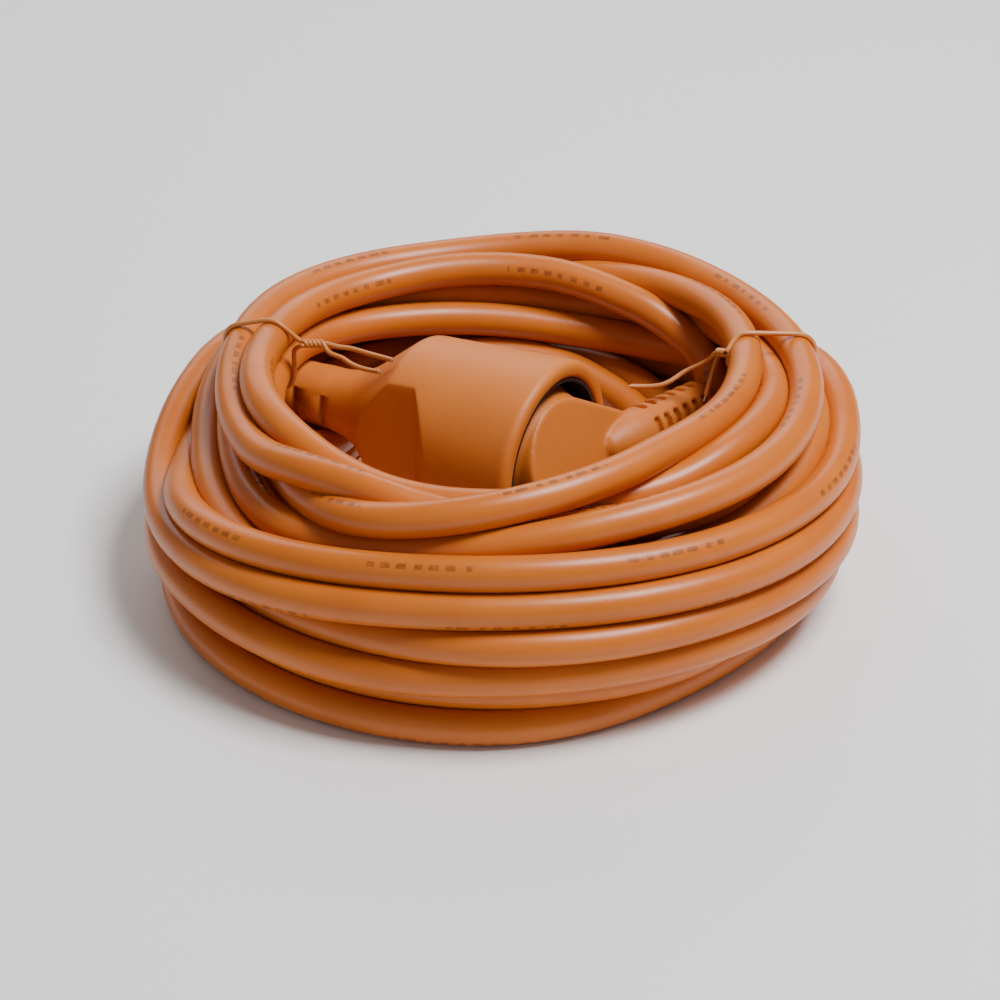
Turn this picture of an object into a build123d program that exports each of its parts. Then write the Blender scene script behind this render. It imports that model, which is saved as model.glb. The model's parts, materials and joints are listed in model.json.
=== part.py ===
"""Coiled mains extension lead: a moulded coupler with the lead's own angled plug in its mouth,
lying in the hollow of the coiled cord, which two coated wire ties hold together.

Frame: millimetres, +Z up, origin on the floor under the middle of the coil.
The coupler's axis is horizontal. Its own frame has x = side (towards the plug's strain relief),
y = up and z = out of the mouth, with its origin at the middle of the mouth.
"""

import os
from math import acos, atan2, cos, pi, radians, sin, tan

from build123d import *

os.makedirs("parts", exist_ok=True)

# ---------------------------------------------------------------- driving dimensions
CORD_D = 8.4  # three-core 1.5 mm2 flexible cord
CORE_D = 3.0  # one insulated core
CORE_PITCH_R = 1.9  # cores' distance from the cord's middle

COIL_OUT_R = 87.4
COIL_IN_R = 57.0
COIL_BELLY_Z = 17.0  # height of the widest turn
COIL_TOP_Z = 40.5  # top of the lower bundle
RING_X = 4.0  # the top turns sit a little to one side
RING_OUT_R = 74.0
RING_IN_R = 57.0
RING_Z0, RING_Z1 = 43.0, 56.0

MOUTH = (12.8, -6.0, 33.0)  # middle of the coupler's mouth
HEADING = 31.0  # degrees the mouth is turned from +X towards -Y
MOUTH_R = 24.5
RECESS_R = 19.5  # socket recess
RECESS_DEPTH = 17.5
LINER_R = 20.4
SHOULDER_T = -37.8  # where the wide body ends and the cone to the neck starts
FACET_S = 14.0  # grip facets, distance from the axis
FACET_T = -31.1  # front edge of the facets' flat part
FACET_RAMP = 0.85  # the facets' front ramps rise 1 for each 0.85 along the axis
NECK_R = 7.1
NECK_END_T = -84.0
NECK_SLOTS_T = (-62.4, -70.6)  # bend-relief slots

PIN_R = 2.4
PIN_LENGTH = 19.0
PIN_PITCH = 19.0
CONTACT_BORE_R = 2.46  # running fit on the pin
PLUG_FACE_T = -RECESS_DEPTH + 0.1
BASE_R = 18.6
BACK_R = 15.8
BACK_T = 5.7  # the sloping back's height over the mouth, on the axis
BACK_RISE_S = 0.1  # how much it rises towards the side
BACK_RISE_H = -0.36  # and upwards
EARTH_HOLE_S = -10.0

RELIEF_ROOT = (21.0, -1.5, 6.9)  # strain relief's axis, in the coupler's frame
RELIEF_END = (51.0, -3.4, 11.6)
RELIEF_ROOT_R = 6.4
RELIEF_END_R = 5.5
RELIEF_GROOVES = 6

TIE_R = 0.75
TIE_WIRE_R = 0.3

# ---------------------------------------------------------------- frames
out = Vector(cos(radians(HEADING)), -sin(radians(HEADING)), 0)
side = Vector(sin(radians(HEADING)), cos(radians(HEADING)), 0)
mouth = Plane(origin=MOUTH, x_dir=side, z_dir=out)
section = Plane(origin=MOUTH, x_dir=side, z_dir=side.cross(out))  # x = radius, y = along the axis
axis = Axis(MOUTH, out)


def at(s, h, t):
    """A point of the coupler's frame, in the row's frame."""
    return mouth.from_local_coords(Vector(s, h, t))


def finish(builder, name):
    """Labels a finished piece and writes it."""
    builder.part.label = name
    export_step(builder.part, f"parts/{name}.step")


def route(points):
    """Straight runs joined by tangent arcs, each as large as its two runs allow."""
    points = [Vector(*p) if not isinstance(p, Vector) else p for p in points]
    radii = []
    for before, here, after in zip(points, points[1:], points[2:]):
        run_in, run_out = here - before, after - here
        half_turn = radians(run_in.get_angle(run_out)) / 2
        radii.append(0.45 * min(run_in.length, run_out.length) / tan(half_turn))
    with BuildLine() as line:
        FilletPolyline(*points, radius=radii)
    return line.wire(), radii


def report(name, path, radii, part, radius):
    """Prints a tube's radii and compares its volume with its section times its length."""
    expected = pi * radius**2 * path.length
    print(
        f"{name}: length {path.length:.1f}, smallest radius {min(radii):.1f},",
        f"volume {part.volume:.0f} of {expected:.0f}",
    )


def start_plane(path):
    """The plane square to a path at its start."""
    return Plane(origin=path @ 0, z_dir=path % 0)


# ---------------------------------------------------------------- coupler
carrier_front_t = -21.1
carrier_back_t = -41.0
strap_t = -22.0
cable_face_t = -58.0

with BuildPart() as coupler_shell:
    with BuildSketch(section):
        with BuildLine():
            lip = Line((LINER_R, 0), (MOUTH_R - 1.7, 0))
            edge = RadiusArc(lip @ 1, (MOUTH_R, -1.7), 1.7)
            flank = Line(edge @ 1, (21.9, SHOULDER_T))
            corner = Line(flank @ 1, (20.9, SHOULDER_T - 1.9))
            cone = Line(corner @ 1, (11.4, -51.0))
            flare = Spline(
                cone @ 1,
                (9.2, -54.8),
                (8.0, -60.0),
                (NECK_R + 0.2, -68.0),
                tangents=[(-0.65, -0.76), (0, -1)],
            )
            neck = Line(flare @ 1, (NECK_R, NECK_END_T))
            Polyline(
                neck @ 1,
                (CORD_D / 2 + 0.05, NECK_END_T),
                (CORD_D / 2 + 0.05, cable_face_t),
                (9.0, -50.0),
                (12.6, carrier_back_t - 0.1),
                (0, carrier_back_t - 0.1),
                (0, carrier_front_t + 0.1),
                (LINER_R, carrier_front_t + 0.1),
                lip @ 0,
            )
        make_face()
    revolve(axis=axis)
    with BuildSketch(mouth.offset(carrier_front_t + 0.5)):
        Rectangle(22.2, 28.2)
    extrude(amount=carrier_back_t - carrier_front_t - 0.6, mode=Mode.SUBTRACT)
    with BuildSketch(mouth.offset(strap_t - 0.1)):
        Rectangle(38.4, 6.6)
    extrude(amount=1.2, mode=Mode.SUBTRACT)
    with BuildSketch(section):
        for way in (-1, 1):
            with BuildLine():
                Polyline(
                    (way * FACET_S, FACET_T),
                    (way * (FACET_S + 12), FACET_T + 12 * FACET_RAMP),
                    (way * (FACET_S + 12), SHOULDER_T - 12),
                    (way * FACET_S, SHOULDER_T - 12),
                    close=True,
                )
            make_face()
    extrude(amount=30, both=True, mode=Mode.SUBTRACT)
    for t in NECK_SLOTS_T:
        with BuildSketch(mouth.offset(t)):
            for way in (-1, 1):
                with Locations((way * (NECK_R - 0.4), 0)):
                    Rectangle(3.2, 8.6)
        extrude(amount=-1.8, mode=Mode.SUBTRACT)
finish(coupler_shell, "coupler_shell")

with BuildPart() as coupler_liner:
    with BuildSketch(section):
        with BuildLine():
            Polyline(
                (0, -RECESS_DEPTH),
                (RECESS_R, -RECESS_DEPTH),
                (RECESS_R, -0.5),
                (LINER_R - 0.02, -0.5),
                (LINER_R - 0.02, carrier_front_t + 0.12),
                (0, carrier_front_t + 0.12),
                close=True,
            )
        make_face()
    revolve(axis=axis)
    with BuildSketch(mouth.offset(-RECESS_DEPTH + 0.1)):
        with Locations((0, PIN_PITCH / 2), (0, -PIN_PITCH / 2)):
            Circle(3.0)
        with Locations((18.25, 0), (-18.25, 0)):
            Rectangle(1.4, 6.4)
    extrude(amount=-5, mode=Mode.SUBTRACT)
finish(coupler_liner, "coupler_liner")

with BuildPart() as coupler_contact_carrier:
    with BuildSketch(mouth.offset(carrier_front_t)):
        RectangleRounded(22, 28, 2)
    extrude(amount=carrier_back_t - carrier_front_t)
    with BuildSketch(mouth.offset(carrier_front_t)):
        with Locations((0, PIN_PITCH / 2), (0, -PIN_PITCH / 2)):
            Circle(3.6)
        Circle(2.1)
    extrude(amount=-25, mode=Mode.SUBTRACT)
    with BuildSketch(mouth.offset(carrier_front_t)):
        Rectangle(30, 6.4)
    extrude(amount=-1.0, mode=Mode.SUBTRACT)
finish(coupler_contact_carrier, "coupler_contact_carrier")

contact_front_t = carrier_front_t - 0.2
contact_back_t = -38.0
barrel_back_t = -43.5


def contact(name, h):
    """A turned brass contact: a split sleeve for the pin and a crimp barrel behind it."""
    with BuildPart() as sleeve:
        with BuildSketch(mouth.offset(contact_front_t)):
            with Locations((0, h)):
                Circle(3.5)
        extrude(amount=contact_back_t - contact_front_t)
        with BuildSketch(mouth.offset(contact_back_t)):
            with Locations((0, h)):
                Circle(2.1)
        extrude(amount=barrel_back_t - contact_back_t)
        with BuildSketch(mouth.offset(contact_front_t)):
            with Locations((0, h)):
                Circle(CONTACT_BORE_R)
        extrude(amount=-16.2, mode=Mode.SUBTRACT)
        with BuildSketch(mouth.offset(contact_front_t)):
            with Locations((0, h)):
                Rectangle(0.5, 7.4)
        extrude(amount=-10, mode=Mode.SUBTRACT)
    finish(sleeve, name)


contact("coupler_line_contact", PIN_PITCH / 2)
contact("coupler_neutral_contact", -PIN_PITCH / 2)

with BuildPart() as coupler_earth_clip:
    with BuildSketch(mouth.offset(strap_t)):
        Rectangle(37.3, 6.0)
    extrude(amount=0.8)
    with BuildSketch(mouth.offset(strap_t)):
        with Locations((18.25, 0), (-18.25, 0)):
            Rectangle(0.8, 6.0)
    extrude(amount=strap_t * -1 - 3.0)
    with BuildSketch(mouth.offset(strap_t)):
        Circle(2.0)
    extrude(amount=barrel_back_t - strap_t)
finish(coupler_earth_clip, "coupler_earth_clip")


def core(name, points):
    """One insulated core, from its crimp barrel to the end of the cord's sheath."""
    path, radii = route(points)
    with BuildPart() as strand:
        with BuildSketch(start_plane(path)):
            Circle(CORE_D / 2)
        sweep(path=path)
    report(name, path, radii, strand.part, CORE_D / 2)
    finish(strand, name)


def core_place(turn):
    """A core's place in the cord's section, as (across, up)."""
    return CORE_PITCH_R * cos(radians(turn)), CORE_PITCH_R * sin(radians(turn))


def coupler_core(name, h, turn):
    across, up = core_place(turn)
    core(
        name,
        [
            at(0, h, barrel_back_t - 0.4),
            at(0, h * 0.93, -46.5),
            at(across * 0.8, 0.45 * h + 0.5 * up, -52.5),
            at(across, up, cable_face_t + 0.8),
        ],
    )


coupler_core("coupler_brown_core", PIN_PITCH / 2, 90)
coupler_core("coupler_blue_core", -PIN_PITCH / 2, 220)
coupler_core("coupler_earth_core", 0.001, -30)

# ---------------------------------------------------------------- plug
insert_back_t = -11.0
neck_half = 5.2  # half the width of the teardrop back where the strain relief starts
relief_from = at(*RELIEF_ROOT)
relief_to = at(*RELIEF_END)
relief_way = (relief_to - relief_from).normalized()
relief_length = (relief_to - relief_from).length
relief_plane = Plane(origin=relief_from, x_dir=Vector(0, 0, 1), z_dir=relief_way)
slip_plane = Plane(origin=relief_to, z_dir=side)  # the relief's end slides along this, off the lead
overrun = 2.0  # what is cut off at the slip plane
relief_start = 9.0  # how far the strain relief reaches into the back

back_plane = Plane(
    origin=at(0, 0, BACK_T),
    x_dir=at(1, 0, BACK_RISE_S) - at(0, 0, 0),
    z_dir=at(-BACK_RISE_S, -BACK_RISE_H, 1) - at(0, 0, 0),
)


# the back is round and narrows along two tangents to the strain relief
tip_s = RELIEF_ROOT[0] + 2
touch = atan2(neck_half, tip_s) + acos(BACK_R / (tip_s**2 + neck_half**2) ** 0.5)
touch_s, touch_h = BACK_R * cos(touch), BACK_R * sin(touch)

with BuildPart() as core_space:
    with BuildSketch(mouth.offset(insert_back_t - 0.1)):
        with BuildLine():
            wall = Polyline(
                (-13.4, 0),
                (-13.4, 4.0),
                (-9.6, 9.6),
                (-3.0, 13.2),
                (4.0, 13.0),
                (tip_s - 1, 4.0),
                (tip_s - 1, 0),
            )
            mirror(wall, about=Plane.XZ)
        make_face()
    extrude(amount=30)
    split(bisect_by=back_plane.offset(-0.9), keep=Keep.BOTTOM)

with BuildPart() as plug_body:
    with BuildSketch(section):
        with BuildLine():
            Polyline(
                (0, PLUG_FACE_T),
                (BASE_R - 0.6, PLUG_FACE_T),
                (BASE_R, PLUG_FACE_T + 0.6),
                (BASE_R, -6.6),
                (BACK_R, -1.0),
                (BACK_R, 0.5),
                (0, 0.5),
                close=True,
            )
        make_face()
    revolve(axis=axis)
    with BuildSketch(mouth.offset(0.5)):
        with BuildLine():
            round_back = ThreePointArc((touch_s, touch_h), (-BACK_R, 0), (touch_s, -touch_h))
            Polyline(round_back @ 1, (tip_s, -neck_half), (tip_s, neck_half), round_back @ 0)
        make_face()
    extrude(amount=18)
    with BuildSketch(back_plane):
        Rectangle(70, 70)
    extrude(amount=25, mode=Mode.SUBTRACT)
    with BuildSketch(relief_plane.offset(-relief_start)):
        Circle(RELIEF_ROOT_R)
    with BuildSketch(relief_plane.offset(relief_length + overrun)):
        Circle(RELIEF_END_R)
    loft()
    split(bisect_by=slip_plane, keep=Keep.BOTTOM)
    with BuildSketch(mouth.offset(PLUG_FACE_T)):
        for way in (-1, 1):
            with Locations((way * 19.0, 0)):
                Rectangle(2.9, 8.0)
            with Locations((way * 17.2, 0)):
                Rectangle(0.72, 6.2)
    extrude(amount=16.0, mode=Mode.SUBTRACT)
    with BuildSketch(mouth.offset(PLUG_FACE_T)):
        Circle(14.5)
    extrude(amount=insert_back_t - PLUG_FACE_T, mode=Mode.SUBTRACT)
    add(core_space.part, mode=Mode.SUBTRACT)
    with BuildSketch(mouth.offset(-8.2)):
        Rectangle(35.2, 6.2)
    extrude(amount=0.9, mode=Mode.SUBTRACT)
    with BuildSketch(relief_plane.offset(-relief_start + 0.6)):
        Circle(CORD_D / 2 + 0.05)
    extrude(amount=relief_length + 14, mode=Mode.SUBTRACT)
    for index in range(RELIEF_GROOVES):
        with BuildSketch(relief_plane.offset(7.0 + 3.9 * index)):
            for way in (-1, 1):
                with Locations((0, way * 6.6)):
                    Rectangle(8.4, 3.6)
        extrude(amount=1.7, mode=Mode.SUBTRACT)
finish(plug_body, "plug_body")

with BuildPart() as plug_insert:
    with BuildSketch(mouth.offset(PLUG_FACE_T)):
        Circle(14.45)
    extrude(amount=insert_back_t - PLUG_FACE_T - 0.05)
    with BuildSketch(mouth.offset(PLUG_FACE_T)):
        with Locations((0, PIN_PITCH / 2), (0, -PIN_PITCH / 2)):
            Circle(PIN_R + 0.02)
        with Locations((EARTH_HOLE_S, 0)):
            Circle(3.3)
    extrude(amount=10, mode=Mode.SUBTRACT)
finish(plug_insert, "plug_insert")

pin_tip_t = PLUG_FACE_T - PIN_LENGTH
crimp_back_t = -5.5


def pin(name, h):
    """A round plug pin with a domed tip and a crimp barrel."""
    with BuildPart() as rod:
        with BuildSketch(mouth.offset(pin_tip_t)):
            with Locations((0, h)):
                Circle(PIN_R)
        extrude(amount=insert_back_t - pin_tip_t)
        tip = rod.faces().sort_by(axis)[0]
        fillet(tip.edges(), 1.6)
        with BuildSketch(mouth.offset(insert_back_t)):
            with Locations((0, h)):
                Circle(2.0)
        extrude(amount=crimp_back_t - insert_back_t)
    finish(rod, name)


pin("plug_line_pin", PIN_PITCH / 2)
pin("plug_neutral_pin", -PIN_PITCH / 2)

with BuildPart() as plug_earth_strips:
    with BuildSketch(mouth.offset(-8.1)):
        Rectangle(34.9, 5.8)
        with Locations((EARTH_HOLE_S, 0)):
            Circle(2.55, mode=Mode.SUBTRACT)
    extrude(amount=0.6)
    with BuildSketch(mouth.offset(-7.5)):
        with Locations((17.2, 0), (-17.2, 0)):
            Rectangle(0.5, 5.8)
    extrude(amount=PLUG_FACE_T + 7.5 + 0.3)
finish(plug_earth_strips, "plug_earth_strips")

with BuildPart() as plug_earth_socket:
    with BuildSketch(mouth.offset(PLUG_FACE_T)):
        with Locations((EARTH_HOLE_S, 0)):
            Circle(3.25)
            Circle(CONTACT_BORE_R, mode=Mode.SUBTRACT)
    extrude(amount=-8.15 - PLUG_FACE_T)
finish(plug_earth_socket, "plug_earth_socket")

sheath_face = relief_from - relief_way * 0.5
with BuildPart() as plug_cord_end:
    with BuildSketch(Plane(origin=sheath_face, z_dir=relief_way)):
        Circle(CORD_D / 2)
    extrude(amount=relief_length + overrun)
    split(bisect_by=slip_plane, keep=Keep.BOTTOM)
finish(plug_cord_end, "plug_cord_end")


def plug_core(name, s, h, turn):
    """A core from its barrel round to the sheath's end at the strain relief."""
    across, up = core_place(turn)
    seat = Plane(origin=sheath_face, x_dir=Vector(0, 0, 1), z_dir=relief_way)
    core(
        name,
        [
            at(s, h, crimp_back_t + 0.6),
            at(s + 1.2, h * 0.95, -1.4),
            at(s * 0.5 + 8.6, h * 0.53, 0.1 + 0.4 * across),
            seat.from_local_coords(Vector(up, across, -4.5)),
            seat.from_local_coords(Vector(up, across, -0.4)),
        ],
    )


plug_core("plug_brown_core", 0, PIN_PITCH / 2, 90)
plug_core("plug_blue_core", 0, -PIN_PITCH / 2, -30)
plug_core("plug_earth_core", 3.0, 0.001, 210)

# ---------------------------------------------------------------- cord
channel_end_t = -92.0  # the coupler's lead goes into the bundle here
channel_r = 9.6


def beside(point, away):
    """A flat-bottomed cut's plane through a point of the coupler's frame, facing along away."""
    return Plane(origin=point, x_dir=Vector(0, 0, 1), z_dir=away)


with BuildPart() as cord_coil_lower:
    with BuildSketch(Plane.XZ):
        with BuildLine():
            floor = Line((63.0, 0), (83.5, 0))
            belly = ThreePointArc(floor @ 1, (COIL_OUT_R, COIL_BELLY_Z), (80.5, COIL_TOP_Z - 2))
            Polyline(
                belly @ 1,
                (78.5, COIL_TOP_Z),
                (COIL_IN_R + 3, COIL_TOP_Z),
                (COIL_IN_R, COIL_TOP_Z - 4),
                (COIL_IN_R, 9.0),
                floor @ 0,
            )
        make_face()
    revolve(axis=Axis.Z)
    # the coupler's neck lies in a dip of the inner turns
    with BuildSketch(beside(at(0, 0, -50), -out)):
        with Locations((4.0, 0)):
            Rectangle(8.0 + 2 * channel_r, 2 * channel_r)
    extrude(amount=-channel_end_t - 50, mode=Mode.SUBTRACT)
    # room for the strain relief to slide, under the top turns
    with BuildSketch(Plane.XY.offset(21.0)):
        with BuildLine():
            Polyline(
                (30, 5), (60, 0), (77, 13), (77, 28), (63, 48), (51, 59), (36, 52), close=True
            )
        make_face()
    extrude(amount=25, mode=Mode.SUBTRACT)
finish(cord_coil_lower, "cord_coil_lower")

with BuildPart() as cord_coil_upper:
    with BuildSketch(Plane.XZ):
        with Locations(((RING_IN_R + RING_OUT_R) / 2, (RING_Z0 + RING_Z1) / 2)):
            RectangleRounded(RING_OUT_R - RING_IN_R, RING_Z1 - RING_Z0, 4.0)
    revolve(axis=Axis.Z)
cord_coil_upper.part = cord_coil_upper.part.moved(Location((RING_X, 0, 0)))
finish(cord_coil_upper, "cord_coil_upper")


with BuildPart() as coupler_lead:
    with BuildSketch(mouth.offset(cable_face_t)):
        Circle(CORD_D / 2)
    extrude(amount=channel_end_t - cable_face_t)
finish(coupler_lead, "coupler_lead")

lead_gap = 0.3
lead_path, lead_radii = route(
    [
        relief_to - relief_way * overrun,
        relief_to + relief_way * 6.3,
        (53.0, 45.5, 36.0),
        (46.5, 54.0, 44.5),
        (34.0, 60.5, 49.5),
    ]
)
with BuildPart() as plug_lead:
    with BuildSketch(start_plane(lead_path)):
        Circle(CORD_D / 2)
    sweep(path=lead_path)
    report("plug_lead", lead_path, lead_radii, plug_lead.part, CORD_D / 2)
    split(bisect_by=slip_plane.offset(lead_gap), keep=Keep.TOP)
finish(plug_lead, "plug_lead")


# ---------------------------------------------------------------- ties
def tie(name, points):
    """A coated steel wire that goes once round the top turns, with its two ends twisted together."""
    path, radii = route(points)
    with BuildPart() as coat:
        with BuildSketch(start_plane(path)):
            Circle(TIE_R)
            Circle(TIE_WIRE_R, mode=Mode.SUBTRACT)
        sweep(path=path)
    with BuildPart() as wire:
        with BuildSketch(start_plane(path)):
            Circle(TIE_WIRE_R)
        sweep(path=path)
    print(f"{name}: length {path.length:.1f}, smallest radius {min(radii):.1f}")
    finish(coat, f"{name}_tie_coat")
    finish(wire, f"{name}_tie_wire")


def around_ring(turn, start_tail, end_tail):
    """Points of a tie in the upright plane through the ring's middle at this angle."""
    way = Vector(cos(radians(turn)), sin(radians(turn)), 0)
    across = Vector(-sin(radians(turn)), cos(radians(turn)), 0)
    low = (COIL_TOP_Z + RING_Z0) / 2
    high = RING_Z1 + 1.2
    inner = RING_IN_R - 2.2
    outer = RING_OUT_R + 1.5

    def spot(radius, z, aside):
        return Vector(RING_X, 0, z) + way * radius + across * aside

    return [
        *start_tail,
        spot(inner - 1.5, 53.0, 1.0),
        spot(inner, 46.0, 0.9),
        spot(inner + 3.5, low, 0.6),
        spot(outer - 3.0, low + 0.1, 0.2),
        spot(outer, 46.5, 0.0),
        spot(outer, 53.5, -0.1),
        spot(outer - 3.5, high, -0.3),
        spot(inner + 2.5, high + 0.1, -0.8),
        spot(inner - 1.0, 54.5, -1.2),
        *end_tail,
    ]


tie(
    "left",
    around_ring(
        160.0,
        [Vector(-27.0, 13.0, 55.6), Vector(-34.0, 16.5, 55.0), Vector(-41.0, 17.5, 53.0)],
        [Vector(-43.0, 20.5, 55.2), Vector(-36.5, 20.5, 56.0), Vector(-30.0, 18.0, 56.4)],
    ),
)
tie(
    "right",
    around_ring(
        10.0,
        [Vector(31.0, 16.0, 43.0), Vector(38.0, 16.6, 45.6), Vector(46.0, 14.0, 50.5)],
        [Vector(53.5, 6.6, 50.5), Vector(51.5, 5.8, 46.0), Vector(50.0, 6.6, 41.5)],
    ),
)
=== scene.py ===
import json
from math import acos, cos, pi, radians, sin, tau

import bmesh
import bpy
import numpy as np
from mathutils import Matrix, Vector

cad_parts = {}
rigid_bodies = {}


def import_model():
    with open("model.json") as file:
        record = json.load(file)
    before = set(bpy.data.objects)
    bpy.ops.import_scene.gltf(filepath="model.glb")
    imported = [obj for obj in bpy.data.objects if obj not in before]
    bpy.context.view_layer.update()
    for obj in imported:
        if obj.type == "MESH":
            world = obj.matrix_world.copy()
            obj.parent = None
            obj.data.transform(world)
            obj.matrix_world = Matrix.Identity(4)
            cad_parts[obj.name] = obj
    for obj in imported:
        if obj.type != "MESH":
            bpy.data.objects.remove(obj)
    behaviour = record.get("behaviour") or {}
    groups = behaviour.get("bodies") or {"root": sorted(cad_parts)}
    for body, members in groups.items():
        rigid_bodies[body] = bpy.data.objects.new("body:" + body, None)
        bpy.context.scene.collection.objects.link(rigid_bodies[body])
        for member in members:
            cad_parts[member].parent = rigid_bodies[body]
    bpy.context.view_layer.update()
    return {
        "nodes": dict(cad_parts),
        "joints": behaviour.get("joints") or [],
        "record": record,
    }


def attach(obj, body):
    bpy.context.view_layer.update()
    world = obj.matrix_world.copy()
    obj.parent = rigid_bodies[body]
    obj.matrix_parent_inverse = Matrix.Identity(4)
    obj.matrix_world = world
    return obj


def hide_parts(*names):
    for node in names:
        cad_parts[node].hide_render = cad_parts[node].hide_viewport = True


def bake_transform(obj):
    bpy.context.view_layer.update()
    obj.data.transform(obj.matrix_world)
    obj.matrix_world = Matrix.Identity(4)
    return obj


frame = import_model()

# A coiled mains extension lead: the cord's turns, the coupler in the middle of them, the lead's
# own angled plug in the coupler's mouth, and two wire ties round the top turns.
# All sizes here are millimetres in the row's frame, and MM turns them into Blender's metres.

MM = 0.001
UP = np.array((0.0, 0.0, 1.0))

# ---------------------------------------------------------------- driving dimensions
CORD_D = 8.4
MOUTH_R = 24.5
MOUTH_BORE_R = 20.42  # the mouth's bore, just clear of the liner
SHOULDER_T = -37.8
FACET_S = 14.0
FACET_T = -31.1
FACET_RAMP = 0.85  # along the axis, for each 1 the facets' front ramps rise
NECK_R = 7.1
NECK_END_T = -84.0
NECK_SLOTS_T = (-62.4, -70.6)
PLUG_FACE_T = -17.4
BASE_R = 18.6
BACK_R = 15.8
BACK_T = 5.7
BACK_RISE_S = 0.1
BACK_RISE_H = -0.36
POCKET_R = 14.47
RELIEF_ROOT = (21.0, -1.5, 6.9)
RELIEF_TIP = (51.0, -3.4, 11.6)
RELIEF_ROOT_R = 6.4
RELIEF_TIP_R = 5.5
TRAVEL = 20.0
TIE_R = 0.6
COIL_OUT_R = 87.5
COIL_TOP_Z = 57.8

# ---------------------------------------------------------------- the coupler's frame
OUT = np.array(frame["joints"][0]["axis"], float)
SIDE = np.cross(UP, OUT)
socket_mount = next(m for m in frame["record"]["mounts"] if m["name"] == "coupler_socket")
MOUTH = np.array(socket_mount["pos_m"]) / MM


def at(s, h, t):
    """A point of the coupler's frame: s to the side, h up, t out of the mouth."""
    return MOUTH + SIDE * s + UP * h + OUT * t


def unit(v):
    return v / np.linalg.norm(v)


relief_root = at(*RELIEF_ROOT)
relief_tip = at(*RELIEF_TIP)
relief_way = unit(relief_tip - relief_root)
relief_length = np.linalg.norm(relief_tip - relief_root)

# ---------------------------------------------------------------- the cord's turns
# Each turn goes from the left (180 degrees) over the back to the right, the front and the left
# again. A place is (degrees, distance from the coil's axis, height of the cord's middle).
QUARTERS = (180, 90, 0, -90)


def turn(*places):
    return [(degrees, *place) for degrees, place in zip(QUARTERS, places)]


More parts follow.
